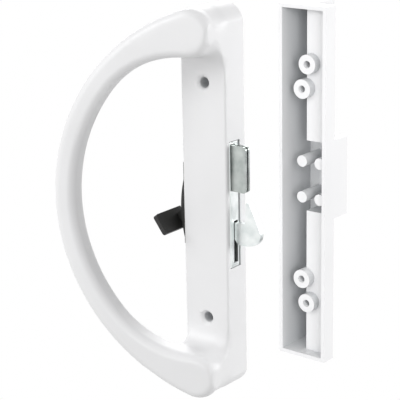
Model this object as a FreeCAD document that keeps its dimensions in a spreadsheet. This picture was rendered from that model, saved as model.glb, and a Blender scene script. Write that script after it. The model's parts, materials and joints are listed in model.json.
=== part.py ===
"""Sliding patio door handle: inside D-handle with its hook latch, and the outside pull.

Frame: X to the right toward the jamb, Y into the door, Z up. The origin lies on the
handle's back face, midway between the two mounting screws. Millimetres throughout.
"""
import FreeCAD
import Part
import Sketcher
import math
import os

V = FreeCAD.Vector
doc = FreeCAD.newDocument("patio_handle")
sheet = doc.addObject("Spreadsheet::Sheet", "dims")
rows = []


def dim(name, value):
    """Write one driving dimension, or a formula, to the sheet under its own name."""
    rows.append(name)
    cell = "B%d" % len(rows)
    sheet.set("A%d" % len(rows), name)
    sheet.set(cell, str(value))
    sheet.setAlias(cell, name)


# Mounting base of the handle
dim("base_width", 28.4)
dim("base_depth", 15.4)
dim("screw_spacing", 125.4)
dim("screw_hole_d", 5.1)
dim("sink_d", 8.8)
dim("wall", 2.4)
dim("face_wall", 2.5)
dim("boss_d", 10.4)
dim("edge_round", 1.4)
dim("side_skim", 0.06)
# D-shaped grip, drawn in its own plane, which leans toward the room on the left
dim("grip_tilt", 15.85)
dim("grip_stand", 26.8)
dim("grip_depth", 13.5)
dim("grip_width", 12)
dim("grip_reach", 75.4)
dim("end_round", 12.2)
dim("end_over", 0.2)
dim("end_height", 90)
dim("corner_in", 1.1)
dim("corner_share", 0.862)
dim("grip_round", 4.5)
dim("foot_inset", 0.15)
dim("cove", 10)
dim("core_depth", 26)
dim("core_half", 9)
# Latch case, folded from sheet
dim("case_sheet", 1)
dim("case_half_height", 33.3)
dim("case_depth", 23)
dim("case_width", 8.4)
dim("case_gap", 0.1)
dim("case_side_gap", 0.3)
dim("side_set_back", 0.2)
dim("ear_reach", 13)
dim("ear_half", 5)
dim("ear_screw_z", 41)
dim("ear_screw_x", 1)
dim("case_screw_r", 1.45)
dim("case_screw_head_r", 3.3)
dim("case_screw_head_h", 1.9)
dim("case_screw_grip", 6)
dim("post_r", 4)
dim("slot_clear", 0.35)
dim("hook_slot_top", -8.6)
dim("hook_slot_bottom", -31)
# Pivot and the pieces that turn on it
dim("pivot_z", 3.5)
dim("pin_r", 2.5)
dim("pin_fit", 0.05)
dim("pin_head_r", 4)
dim("pin_head_h", 1.2)
dim("plate_gap", 0.2)
dim("lever_thick", 2.2)
dim("hook_thick", 2.6)
dim("hub_r", 7.5)
dim("drive_r", 1.2)
dim("drive_arm", 4.8)
# Hook outline seen from the room, measured from the pivot
dim("hook_neck_x", 16.5)
dim("hook_neck_in", 12.2)
dim("hook_neck_top", 12.9)
dim("hook_neck_bottom", 24.4)
dim("hook_throat_x", 21)
dim("hook_throat_drop", 12.6)
dim("hook_tip_x", 23.6)
dim("hook_tip_drop", 1.5)
dim("hook_tip_round", 1.4)
dim("hook_nose_x", 30.2)
dim("hook_nose_drop", 14.9)
dim("hook_nose_round", 7)
dim("hook_belly_x", 27.2)
dim("hook_belly_drop", 22.9)
dim("hook_belly_round", 22)
dim("throat_round", 1.6)
# Thumb lever
dim("lever_angle", 37.5)
dim("lever_arm_half", 2.5)
dim("lever_hub_r", 7)
dim("paddle_in", 25.6)
dim("paddle_thick", 2.6)
dim("paddle_half", 5.7)
dim("paddle_front", 26.5)
dim("paddle_back", 6.5)
dim("paddle_round", 1.4)
# Bezel round the lever slot
dim("bezel_top", 19)
dim("bezel_bottom", -25)
dim("bezel_front", 13.4)
dim("bezel_back", 2.8)
dim("bezel_plate", 1.2)
dim("bezel_dome", 2.1)
dim("bezel_dome_r", 60)
dim("bezel_dome_z", -6)
dim("bezel_slot_top", 11.2)
dim("bezel_slot_bottom", -14)
dim("bezel_slot_clear", 0.3)
dim("stud_r", 1.4)
dim("stud_fit", 0.05)
dim("stud_top_z", 15.5)
dim("stud_low_z", -21.5)
# Guide nose
dim("nose_reach", 9.4)
dim("nose_root_x", 8.6)
dim("nose_sheet", 1.2)
dim("nose_space", 1)
dim("nose_low", 8)
dim("nose_high", 32)
dim("nose_round", 1.8)
dim("nose_window_clear", 0.2)
dim("rivet_r", 1.1)
dim("rivet_head_r", 1.5)
dim("rivet_head_h", 0.7)
dim("rivet_x", 11.4)
dim("rivet_low_z", 14)
dim("rivet_high_z", 26)
# Detent leaf spring
dim("leaf_thick", 0.5)
dim("leaf_gap", 0.6)
dim("leaf_low", -5)
dim("leaf_high", 26)
dim("leaf_tab_low", 17)
dim("leaf_tab", 7)
dim("leaf_front", 9)
dim("leaf_rivet_r", 1.2)
# Outside pull, standing to the right of the handle
dim("pull_x", 43.2)
dim("pull_y", 9)
dim("pull_z", 9.8)
dim("pull_width", 28)
dim("pull_height", 184.6)
dim("pull_wall", 2)
dim("plate_depth", 8.3)
dim("plate_floor", 6.6)
dim("fin_width", 16.4)
dim("fin_depth", 27.5)
dim("fin_floor", 25.5)
dim("fin_edge", -1.5)
dim("fin_round", 4)
dim("block_depth", 20)
dim("block_floor", 18)
dim("block_half", 20.5)
dim("block_z", 4.4)
dim("boss_face", 2)
dim("pull_boss_r", 4.9)
dim("pull_hole_r", 1.9)
dim("pull_hole_depth", 5.4)
dim("boss_shift", 1.5)
dim("inner_spacing", 100)
dim("peg_r", 2.95)
dim("peg_x_left", -1.3)
dim("peg_x_right", 9.2)
dim("peg_z", 3.7)
dim("peg_pitch", 18.8)
# Values that follow from those above
dim("side", "=base_width / 2")
dim("opening_z", "=end_height - end_round")
dim("tilt_cos", "=cos(grip_tilt * 1 deg)")
dim("tilt_sin", "=sin(grip_tilt * 1 deg)")
dim("end_x", "=side + end_over - end_round * tilt_cos")
dim("end_u", "=end_x / tilt_cos")
dim("outer_span", "=grip_reach + end_u")
dim("outer_arc", "=(outer_span^2 + end_height^2 - end_round^2) / (2 * (outer_span - end_round))")
dim("outer_mid", "=outer_arc - grip_reach")
dim("join_u", "=outer_mid + (end_u - outer_mid) * outer_arc / (outer_arc - end_round)")
dim("join_z", "=end_height * outer_arc / (outer_arc - end_round)")
dim("inner_reach", "=grip_reach - grip_width")
dim("inner_span", "=inner_reach - corner_in")
dim("inner_corner", "=corner_share * inner_span")
dim("corner_z", "=opening_z - inner_corner")
dim("inner_arc", "=(inner_span^2 + corner_z^2 - inner_corner^2) / (2 * (inner_span - inner_corner))")
dim("inner_mid", "=inner_arc - inner_reach")
dim("bend_u", "=inner_mid - (inner_mid + corner_in) * inner_arc / (inner_arc - inner_corner)")
dim("bend_z", "=corner_z * inner_arc / (inner_arc - inner_corner)")
dim("foot_left", "=-(side - edge_round - 0.2) / tilt_cos")
dim("foot_round", "=end_round - foot_inset")
dim("foot_arc", "=outer_arc - foot_inset")
dim("foot_join_u", "=outer_mid + (end_u - outer_mid) * foot_arc / (outer_arc - end_round)")
dim("foot_join_z", "=end_height * foot_arc / (outer_arc - end_round)")
dim("foot_low", "=opening_z + foot_inset")
dim("foot_top", "=sqrt(foot_arc^2 - (foot_left - outer_mid)^2)")
dim("foot_length", "=grip_stand - base_depth + 1 + side * tilt_sin / tilt_cos")
dim("grip_front", "=grip_stand + grip_depth / 2 / tilt_cos + grip_reach * tilt_sin")
dim("inside_face", "=base_depth - face_wall")
dim("case_front", "=inside_face - case_gap")
dim("case_back", "=case_front - case_width")
dim("case_side", "=side - side_set_back")
dim("lever_front", "=case_front - case_sheet - plate_gap")
dim("hook_front", "=lever_front - lever_thick - plate_gap")
dim("hook_back", "=hook_front - hook_thick")
dim("nose_front", "=case_front - case_sheet")
dim("nose_back", "=nose_front - 2 * nose_sheet - nose_space")
dim("nose_tip_x", "=side + nose_reach")
dim("leaf_x", "=hub_r + leaf_gap")
dim("lever_sin", "=sin(lever_angle * 1 deg)")
dim("lever_cos", "=cos(lever_angle * 1 deg)")
dim("bezel_dome_half", "=sqrt(2 * bezel_dome_r * bezel_dome - bezel_dome^2)")
doc.recompute()


def val(name):
    """Current value of a named dimension."""
    return float(sheet.get(name))


def num(expression):
    """Value of an expression written in sheet names."""
    return float(sheet.evalExpression(expression))


def bind(obj, **props):
    """Bind properties of an object to expressions on the sheet; underscores in names stand for dots."""
    for prop, expression in props.items():
        obj.setExpression(prop.replace("__", "."), on_sheet(expression))


def on_sheet(expression):
    """Prefix every sheet name in an expression with the sheet."""
    out = ""
    word = ""
    for ch in str(expression) + " ":
        if ch.isalnum() or ch == "_":
            word += ch
            continue
        out += ("dims." + word if word in rows else word) + ch
        word = ""
    return out.strip()


class Piece:
    """One body with the features that shape it; depth is counted toward the room from the back face."""

    def __init__(self, name):
        self.body = doc.addObject("PartDesign::Body", name)
        self.body.Label = name
        self.name = name

    def sketch(self, name, role, lift="0", turn=None):
        """New sketch on an origin plane, lifted along the plane's normal and turned about its upright axis."""
        sk = self.body.newObject("Sketcher::SketchObject", name)
        plane = [o for o in self.body.Origin.OriginFeatures if o.Role == role][0]
        sk.AttachmentSupport = [(plane, "")]
        sk.MapMode = "FlatFace"
        if turn is not None:
            sk.AttachmentOffset = FreeCAD.Placement(V(0, 0, 0), FreeCAD.Rotation(V(0, 1, 0), num(turn)))
            bind(sk, AttachmentOffset__Rotation__Angle=turn)
        bind(sk, AttachmentOffset__Base__z=lift)
        return sk

    def outline(self, sk, corners):
        """Closed outline through corners (x, y, bulge): bulge names the radius of the arc that follows.

        A radius is written "+name" for an arc to the left of the way on, "-name" for one to the right.
        """
        pts = [V(num(c[0]), num(c[1]), 0) for c in corners]
        count = len(pts)
        ids = []
        for i, corner in enumerate(corners):
            a, b = pts[i], pts[(i + 1) % count]
            if len(corner) == 2:
                ids.append((sk.addGeometry(Part.LineSegment(a, b), False), 1, 2))
                continue
            left = corner[2][0] == "+"
            big = corner[2][1] == "*"
            radius = corner[2].lstrip("+-*")
            r = num(radius)
            chord = b - a
            half = chord.Length / 2
            rise = math.sqrt(max(r * r - half * half, 0.0))
            across = V(-chord.y, chord.x, 0).normalize()
            turn = (-1 if left else 1) * (-1 if big else 1)
            centre = (a + b) * 0.5 + across * rise * turn
            sa = math.atan2(a.y - centre.y, a.x - centre.x)
            sb = math.atan2(b.y - centre.y, b.x - centre.x)
            circle = Part.Circle(centre, V(0, 0, 1), r)
            if left:
                gid = sk.addGeometry(Part.ArcOfCircle(circle, sb, sa), False)
                ids.append((gid, 2, 1))
            else:
                gid = sk.addGeometry(Part.ArcOfCircle(circle, sa, sb), False)
                ids.append((gid, 1, 2))
            c = sk.addConstraint(Sketcher.Constraint("Radius", gid, r))
            sk.setExpression("Constraints[%d]" % c, on_sheet(radius))
        for i, corner in enumerate(corners):
            gid, first, last = ids[i]
            nxt, nfirst, nlast = ids[(i + 1) % count]
            sk.addConstraint(Sketcher.Constraint("Coincident", gid, last, nxt, nfirst))
            for kind, text in (("DistanceX", corner[0]), ("DistanceY", corner[1])):
                c = sk.addConstraint(Sketcher.Constraint(kind, -1, 1, gid, first, num(text)))
                sk.setExpression("Constraints[%d]" % c, on_sheet(text))
        return sk

    def feature(self, kind, name, sk, length=None, **props):
        """Pad or Pocket of a sketch; a length makes it a blind one."""
        ft = self.body.newObject("PartDesign::" + kind, name)
        ft.Profile = sk
        sk.Visibility = False
        if length is not None:
            bind(ft, Length=length)
        for prop, value in props.items():
            setattr(ft, prop, value)
        doc.recompute()
        return ft

    def box(self, kind, name, x0, x1, near, far, z0, z1):
        """Additive or subtractive box from depth near to depth far."""
        ft = self.body.newObject("PartDesign::%sBox" % kind, name)
        bind(ft, Length="(%s) - (%s)" % (x1, x0), Width="(%s) - (%s)" % (far, near),
             Height="(%s) - (%s)" % (z1, z0), Placement__Base__x=x0,
             Placement__Base__y="-(%s)" % far, Placement__Base__z=z0)
        doc.recompute()
        return ft

    def rod(self, kind, name, x, z, near, far, r, r_far=None):
        """Additive or subtractive round, or cone, along the depth from near to far."""
        shape = "Cylinder" if r_far is None else "Cone"
        ft = self.body.newObject("PartDesign::%s%s" % (kind, shape), name)
        ft.Placement = FreeCAD.Placement(V(0, 0, 0), FreeCAD.Rotation(V(1, 0, 0), 90))
        if r_far is None:
            bind(ft, Radius=r)
        else:
            bind(ft, Radius1=r, Radius2=r_far)
        bind(ft, Height="(%s) - (%s)" % (far, near), Placement__Base__x=x,
             Placement__Base__y="-(%s)" % near, Placement__Base__z=z)
        doc.recompute()
        return ft

    def rod_x(self, kind, name, depth, z, x0, x1, r):
        """Additive or subtractive round along X at a given depth."""
        ft = self.body.newObject("PartDesign::%sCylinder" % kind, name)
        ft.Placement = FreeCAD.Placement(V(0, 0, 0), FreeCAD.Rotation(V(0, 1, 0), 90))
        bind(ft, Radius=r, Height="(%s) - (%s)" % (x1, x0), Placement__Base__x=x0,
             Placement__Base__y="-(%s)" % depth, Placement__Base__z=z)
        doc.recompute()
        return ft

    def round_edges(self, name, radius, test, kind="Fillet"):
        """Fillet the edges of the last feature for which the test holds."""
        tip = self.body.Tip
        names = []
        for i, edge in enumerate(tip.Shape.Edges):
            if test(edge):
                names.append("Edge%d" % (i + 1))
        ft = self.body.newObject("PartDesign::" + kind, name)
        ft.Base = (tip, names)
        bind(ft, **{"Radius" if kind == "Fillet" else "Size": radius})
        doc.recompute()
        return ft


def off_plane(vertex):
    """Distance of a vertex in front of the grip's own middle plane."""
    return vertex.X * val("tilt_sin") - (vertex.Y + val("grip_stand")) * val("tilt_cos")


def on_face_of_grip(edge):
    """True for an edge round the front or the back of the grip."""
    return all(abs(abs(off_plane(v)) - val("grip_depth") / 2) < 0.01 for v in edge.Vertexes)


def on_face_edge(edge):
    """True for a long edge of the base face."""
    box = edge.BoundBox
    level = abs(box.YMin + val("base_depth")) < 0.01 and box.YLength < 0.01
    return upright(edge) and level and box.ZLength > val("end_height")


def on_left_edge(edge):
    """True for the long edge of the base face under the grip."""
    return on_face_edge(edge) and edge.BoundBox.XMax < 0


def on_right_edge(edge):
    """True for the long edge of the base face beside the hook."""
    return on_face_edge(edge) and edge.BoundBox.XMin > 0


def in_throat(edge):
    """True for the inner corner of the hook."""
    same_z = abs(edge.BoundBox.ZMin - val("pivot_z") + val("hook_throat_drop")) < 0.01 and edge.BoundBox.ZLength < 0.01
    return same_z and at_x(edge, val("hook_throat_x"))


def on_fin_edge(edge):
    """True for the two long back edges of the pull's fin."""
    return upright(edge) and abs(edge.BoundBox.YMin - val("pull_y") - val("fin_depth")) < 0.01


def upright(edge):
    """True for a straight edge along Z."""
    return edge.BoundBox.XLength < 0.01 and edge.BoundBox.YLength < 0.01


def at_x(edge, x):
    """True for an edge that lies wholly at one X."""
    return abs(edge.BoundBox.XMin - x) < 0.01 and abs(edge.BoundBox.XMax - x) < 0.01


# Grip of the inside handle: a crescent in its own tilted plane, with a foot behind each end
grip = Piece("grip")
sk = grip.sketch("grip_outline", "XZ_Plane", "grip_stand", "grip_tilt")
grip.outline(sk, [
    ("end_u", "opening_z", "-end_round"),
    ("end_u + end_round", "end_height", "-end_round"),
    ("join_u", "join_z", "-outer_arc"),
    ("join_u", "-join_z", "-end_round"),
    ("end_u + end_round", "-end_height", "-end_round"),
    ("end_u", "-opening_z"),
    ("-corner_in", "-opening_z", "+inner_corner"),
    ("bend_u", "-bend_z", "+inner_arc"),
    ("bend_u", "bend_z", "+inner_corner"),
    ("-corner_in", "opening_z"),
])
grip.feature("Pad", "grip_slab", sk, "grip_depth", Midplane=True)
grip.round_edges("grip_rounds", "grip_round", on_face_of_grip)
sk = grip.sketch("foot_outline", "XZ_Plane", "grip_stand", "grip_tilt")
grip.outline(sk, [
    ("end_u", "foot_low", "-foot_round"),
    ("end_u + foot_round", "end_height", "-foot_round"),
    ("foot_join_u", "foot_join_z", "-foot_arc"),
    ("foot_left", "foot_top"),
    ("foot_left", "foot_low"),
])
grip.outline(sk, [
    ("end_u", "-foot_low", "+foot_round"),
    ("end_u + foot_round", "-end_height", "+foot_round"),
    ("foot_join_u", "-foot_join_z", "+foot_arc"),
    ("foot_left", "-foot_top"),
    ("foot_left", "-foot_low"),
])
grip.feature("Pad", "grip_feet", sk, "foot_length", UseCustomVector=True, AlongSketchNormal=False,
             Direction=V(0, 1, 0))

# Base of the casting, with a cove where its face rises to the ends of the grip
handle = Piece("inside_handle")
sk = handle.sketch("base_outline", "XZ_Plane")
handle.outline(sk, [
    ("-side", "-end_height"),
    ("-side", "end_height"),
    ("-side", "foot_top"),
    ("end_x", "end_height + end_round", "+end_round"),
    ("end_x + end_round", "end_height"),
    ("end_x + end_round", "-end_height", "+end_round"),
    ("end_x", "-end_height - end_round"),
    ("-side", "-foot_top"),
])
handle.feature("Pad", "base_slab", sk, "base_depth")
handle.round_edges("left_edge", "edge_round", on_left_edge)
cove_profile = [
    ("1 - base_depth", "opening_z + 1"),
    ("1 - base_depth", "opening_z - cove"),
    ("-base_depth", "opening_z - cove", "-cove"),
    ("-base_depth - cove", "opening_z"),
    ("-base_depth - cove", "opening_z + 1"),
]
sk = handle.sketch("cove_section", "YZ_Plane", "edge_round - side")
handle.outline(sk, cove_profile)
cove_run = handle.feature("Pad", "cove_run", sk, "side - edge_round + end_x")
sk = handle.sketch("cove_turn_section", "YZ_Plane", "end_x")
handle.outline(sk, cove_profile)
axis = sk.addGeometry(Part.LineSegment(V(-5, val("end_height"), 0), V(-10, val("end_height"), 0)), True)
for pos, reach in ((1, -5), (2, -10)):
    sk.addConstraint(Sketcher.Constraint("DistanceX", -1, 1, axis, pos, reach))
    c = sk.addConstraint(Sketcher.Constraint("DistanceY", -1, 1, axis, pos, val("end_height")))
    sk.setExpression("Constraints[%d]" % c, "dims.end_height")
cove_turn = handle.body.newObject("PartDesign::Revolution", "cove_turn")
cove_turn.Profile = sk
cove_turn.ReferenceAxis = (sk, ["Axis0"])
cove_turn.Angle = 90
sk.Visibility = False
doc.recompute()
cove_pair = handle.body.newObject("PartDesign::Mirrored", "cove_pair")
cove_pair.Originals = [cove_run, cove_turn]
cove_pair.MirrorPlane = ([o for o in handle.body.Origin.OriginFeatures if o.Role == "XY_Plane"][0],
                         [""])
handle.body.Tip = cove_pair
doc.recompute()
handle.box("Subtractive", "side_trim", "side", "side + 2 * cove", "-1", "base_depth + 2 * cove",
           "-end_height - 2 * end_round", "end_height + 2 * end_round")
handle.round_edges("right_edge", "edge_round", on_right_edge)
# The grip joins the base, and the right side of both is skimmed to one flat face
join = handle.body.newObject("PartDesign::Boolean", "grip_joined")
join.Type = "Fuse"
join.setObjects([grip.body])
handle.body.Tip = join
doc.recompute()
handle.box("Subtractive", "side_face", "side - side_skim", "side + 2 * cove", "-1", "2 * grip_front",
           "-end_height - 2 * end_round", "end_height + 2 * end_round")
# Hollow back with two deeper cores under the ends of the grip
handle.box("Subtractive", "hollow", "wall - side", "side - wall", "-1", "inside_face",
           "-end_height + 2", "end_height - 2")
handle.box("Subtractive", "core_high", "-core_half", "end_x + 4", "0", "core_depth",
           "opening_z + wall + 1", "end_height + 2")
handle.box("Subtractive", "core_low", "-core_half", "end_x + 4", "0", "core_depth", "-end_height - 2",
           "-opening_z - wall - 1")
for word, sign in (("high", ""), ("low", "-")):
    z = sign + "(screw_spacing / 2)"
    handle.rod("Additive", "boss_" + word, "0", z, "0", "inside_face + 0.5", "boss_d / 2")
    handle.rod("Subtractive", "screw_hole_" + word, "0", z, "-1", "base_depth + 1", "screw_hole_d / 2")
    handle.rod("Subtractive", "sink_" + word, "0", z, "base_depth - (sink_d - screw_hole_d) / 2",
               "base_depth",
               "screw_hole_d / 2", "sink_d / 2")
    z = sign + "ear_screw_z"
    handle.rod("Additive", "post_" + word, "ear_screw_x", z, "case_back + case_sheet",
               "inside_face + 0.5", "post_r")
    handle.rod("Subtractive", "post_hole_" + word, "ear_screw_x", z, "case_back",
               "case_back + case_sheet + case_screw_grip + 0.4",
               "case_screw_r + 0.05")
# Openings for the latch in the right wall and for the lever in the left wall
handle.box("Subtractive", "latch_opening", "side - wall - 1", "side + 1", "case_back - case_side_gap",
           "inside_face",
           "-case_half_height - case_side_gap", "case_half_height + case_side_gap")
handle.box("Subtractive", "lever_opening", "-side - 1", "wall - side + 1",
           "lever_front - lever_thick - 2 * bezel_slot_clear",
           "lever_front + 2 * bezel_slot_clear", "bezel_slot_bottom - 0.5", "bezel_slot_top + 0.5")
for word in ("top", "low"):
    handle.rod_x("Subtractive", "stud_hole_" + word, "lever_front - lever_thick", "stud_%s_z" % word,
                 "-side - 1", "wall - side + 1", "stud_r + stud_fit")

# Latch case folded from one sheet, with two ears that carry its screws
case = Piece("latch_case")
sk = case.sketch("case_section", "XY_Plane")
case.outline(sk, [
    ("case_side - case_depth", "-case_front"),
    ("case_side", "-case_front"),
    ("case_side", "-case_back"),
    ("case_side - case_depth", "-case_back"),
    ("case_side - case_depth", "-case_back - case_sheet"),
    ("case_side - case_sheet", "-case_back - case_sheet"),
    ("case_side - case_sheet", "case_sheet - case_front"),
    ("case_side - case_depth", "case_sheet - case_front"),
])
case.feature("Pad", "case_fold", sk, "2 * case_half_height", Midplane=True)
case.round_edges("case_bend_outer", "1.5 * case_sheet",
                 lambda e: upright(e) and at_x(e, val("case_side")))
case.round_edges("case_bend_inner", "0.5 * case_sheet",
                 lambda e: upright(e) and at_x(e, val("case_side") - val("case_sheet")))
case.box("Additive", "case_ears", "ear_screw_x - ear_half", "ear_screw_x + ear_half", "case_back",
         "case_back + case_sheet",
         "-case_half_height - ear_reach", "case_half_height + ear_reach")
case.round_edges("ear_corners", "0.6 * ear_half",
                 lambda e: abs(e.BoundBox.ZMax) > val("case_half_height") + 5 and e.BoundBox.YLength > 0.9 * val("case_sheet")
                 and e.BoundBox.ZLength < 0.01)
case.rod("Subtractive", "pin_holes", "0", "pivot_z", "case_back - 1", "case_front + 1", "pin_r")
case.box("Subtractive", "hook_slot", "case_side - case_sheet - 1", "case_side + 1",
         "hook_back - slot_clear",
         "hook_front + slot_clear", "hook_slot_bottom", "hook_slot_top")
case.box("Subtractive", "nose_window", "case_side - case_sheet - 1", "case_side + 1",
         "nose_back - nose_window_clear",
         "nose_front", "nose_low - nose_window_clear", "nose_high + nose_window_clear")
for word in ("low", "high"):
    case.rod("Subtractive", "nose_rivet_hole_" + word, "rivet_x", "rivet_%s_z" % word,
             "nose_front - 1", "case_front + 1",
             "rivet_r")
for word, sign in (("high", ""), ("low", "-")):
    case.rod("Subtractive", "ear_hole_" + word, "ear_screw_x", sign + "ear_screw_z", "case_back - 1",
             "case_back + case_sheet + 1", "case_screw_r + 0.25")
case.rod("Subtractive", "leaf_rivet_hole", "leaf_tab / 2 - leaf_x", "(leaf_tab_low + leaf_high) / 2",
         "case_back - 1",
         "case_back + case_sheet + 1", "leaf_rivet_r")

# Guide nose: a strip folded on itself, riveted inside the case and standing out of its window
nose = Piece("guide_nose")
sk = nose.sketch("nose_section", "XY_Plane", "nose_low")
nose.outline(sk, [
    ("nose_root_x", "-nose_front"),
    ("nose_tip_x", "-nose_front"),
    ("nose_tip_x", "nose_sheet - nose_front"),
    ("nose_root_x + nose_sheet", "nose_sheet - nose_front"),
    ("nose_root_x + nose_sheet", "-nose_back - nose_sheet"),
    ("nose_tip_x", "-nose_back - nose_sheet"),
    ("nose_tip_x", "-nose_back"),
    ("nose_root_x", "-nose_back"),
])
nose.feature("Pad", "nose_fold", sk, "nose_high - nose_low")
nose.round_edges("nose_bend", "nose_sheet", lambda e: upright(e) and at_x(e, val("nose_root_x")))
nose.round_edges("nose_corners", "nose_round",
                 lambda e: at_x(e, val("nose_tip_x")) and e.BoundBox.ZLength < 0.01)
for word in ("low", "high"):
    nose.rod("Subtractive", "rivet_hole_" + word, "rivet_x", "rivet_%s_z" % word,
             "nose_front - nose_sheet - 0.3",
             "nose_front + 1", "rivet_r")

# Rivets of the nose
rivets = Piece("nose_rivets")
for word in ("low", "high"):
    rivets.rod("Additive", "rivet_" + word, "rivet_x", "rivet_%s_z" % word, "nose_front - nose_sheet",
               "case_front", "rivet_r")
    rivets.rod("Additive", "rivet_head_" + word, "rivet_x", "rivet_%s_z" % word,
               "nose_front - nose_sheet - rivet_head_h",
               "nose_front - nose_sheet", "rivet_head_r")

# Hook: one plate with its hub, drawn locked
hook = Piece("hook")
hook.rod("Additive", "hook_hub", "0", "pivot_z", "hook_back", "hook_front", "hub_r")
sk = hook.sketch("hook_outline", "XZ_Plane", "hook_back")
hook.outline(sk, [
    ("0.5 * hub_r", "pivot_z + 0.6 * hub_r"),
    ("hook_neck_in", "pivot_z - hook_neck_top"),
    ("hook_throat_x", "pivot_z - hook_throat_drop"),
    ("hook_throat_x + 0.2", "pivot_z - hook_tip_drop - 0.7", "+hook_tip_round"),
    ("hook_tip_x", "pivot_z - hook_tip_drop"),
    ("hook_nose_x", "pivot_z - hook_nose_drop", "+hook_nose_round"),
    ("hook_belly_x", "pivot_z - hook_belly_drop", "+hook_belly_round"),
    ("hook_neck_x", "pivot_z - hook_neck_bottom"),
    ("-0.4 * hub_r", "pivot_z - 0.7 * hub_r"),
])
hook.feature("Pad", "hook_plate", sk, "hook_thick")
hook.round_edges("throat_fillet", "throat_round", in_throat)
hook.rod("Subtractive", "hook_bore", "0", "pivot_z", "hook_back - 1", "hook_front + 1",
         "pin_r + pin_fit")
hook.rod("Subtractive", "hook_drive_hole", "0", "pivot_z + drive_arm", "hook_back - 1",
         "hook_front + 1", "drive_r")

# Thumb lever: hub and arm beside the hook, paddle square to the arm and reaching toward the room
lever = Piece("thumb_lever")
lever.rod("Additive", "lever_hub", "0", "pivot_z", "lever_front - lever_thick", "lever_front",
          "lever_hub_r")
sk = lever.sketch("arm_outline", "XZ_Plane", "lever_front - lever_thick")
arm_end = "(paddle_in + 0.4 * paddle_thick)"
lever.outline(sk, [
    ("lever_arm_half * lever_sin", "pivot_z - lever_arm_half * lever_cos"),
    ("lever_arm_half * lever_sin - %s * lever_cos" % arm_end,
     "pivot_z - lever_arm_half * lever_cos - %s * lever_sin" % arm_end),
    ("-lever_arm_half * lever_sin - %s * lever_cos" % arm_end,
     "pivot_z + lever_arm_half * lever_cos - %s * lever_sin" % arm_end),
    ("-lever_arm_half * lever_sin", "pivot_z + lever_arm_half * lever_cos"),
])
lever.feature("Pad", "lever_arm", sk, "lever_thick")
sk = lever.sketch("paddle_outline", "XZ_Plane", "paddle_back")
paddle_out = "(paddle_in + paddle_thick)"
lever.outline(sk, [
    ("paddle_half * lever_sin - paddle_in * lever_cos",
     "pivot_z - paddle_half * lever_cos - paddle_in * lever_sin"),
    ("paddle_half * lever_sin - %s * lever_cos" % paddle_out,
     "pivot_z - paddle_half * lever_cos - %s * lever_sin" % paddle_out),
    ("-paddle_half * lever_sin - %s * lever_cos" % paddle_out,
     "pivot_z + paddle_half * lever_cos - %s * lever_sin" % paddle_out),
    ("-paddle_half * lever_sin - paddle_in * lever_cos",
     "pivot_z + paddle_half * lever_cos - paddle_in * lever_sin"),
])
lever.feature("Pad", "paddle", sk, "paddle_front - paddle_back")
lever.round_edges("paddle_corners", "paddle_round",
                  lambda e: abs(e.BoundBox.YMin + val("paddle_front")) < 0.01 and abs(e.BoundBox.YMax + val("paddle_front")) < 0.01
                  and abs(e.Length - val("paddle_thick")) < 0.01)
lever.rod("Subtractive", "lever_bore", "0", "pivot_z", "lever_front - lever_thick - 1",
          "lever_front + 1", "pin_r + pin_fit")
lever.rod("Subtractive", "lever_drive_hole", "0", "pivot_z + drive_arm",
          "lever_front - lever_thick - 1", "lever_front + 1",
          "drive_r")

# Dowel that locks lever and hook together
drive = Piece("drive_pin")
drive.rod("Additive", "dowel", "0", "pivot_z + drive_arm", "hook_back", "lever_front", "drive_r")

# Pivot pin with its peened head behind the case, and the washer under the hook
pin = Piece("pivot_pin")
pin.rod("Additive", "shank", "0", "pivot_z", "case_back", "case_front", "pin_r")
pin.rod("Additive", "peened_head", "0", "pivot_z", "case_back - pin_head_h", "case_back", "pin_head_r")
washer = Piece("pivot_washer")
washer.rod("Additive", "washer_disc", "0", "pivot_z", "case_back + case_sheet",
           "hook_back - plate_gap / 2", "0.8 * hub_r")
washer.rod("Subtractive", "washer_hole", "0", "pivot_z", "case_back", "hook_back + 1",
           "pin_r + pin_fit")

# Bezel of the lever slot: thin plate with a shallow dome and two studs into the wall
bezel = Piece("lever_bezel")
sk = bezel.sketch("bezel_section", "XZ_Plane", "bezel_back")
bezel.outline(sk, [
    ("-side", "bezel_bottom"),
    ("-side - bezel_plate", "bezel_bottom"),
    ("-side - bezel_plate", "bezel_dome_z - bezel_dome_half", "+bezel_dome_r"),
    ("-side - bezel_plate", "bezel_dome_z + bezel_dome_half"),
    ("-side - bezel_plate", "bezel_top"),
    ("-side", "bezel_top"),
])
bezel.feature("Pad", "bezel_plate_pad", sk, "bezel_front - bezel_back")
bezel.box("Subtractive", "bezel_slot", "-side - 10", "-side + 1",
          "lever_front - lever_thick - bezel_slot_clear",
          "lever_front + bezel_slot_clear", "bezel_slot_bottom", "bezel_slot_top")
for word in ("top", "low"):
    bezel.rod_x("Additive", "stud_" + word, "lever_front - lever_thick", "stud_%s_z" % word,
                "-side - 0.5", "-side + wall",
                "stud_r")

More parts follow.
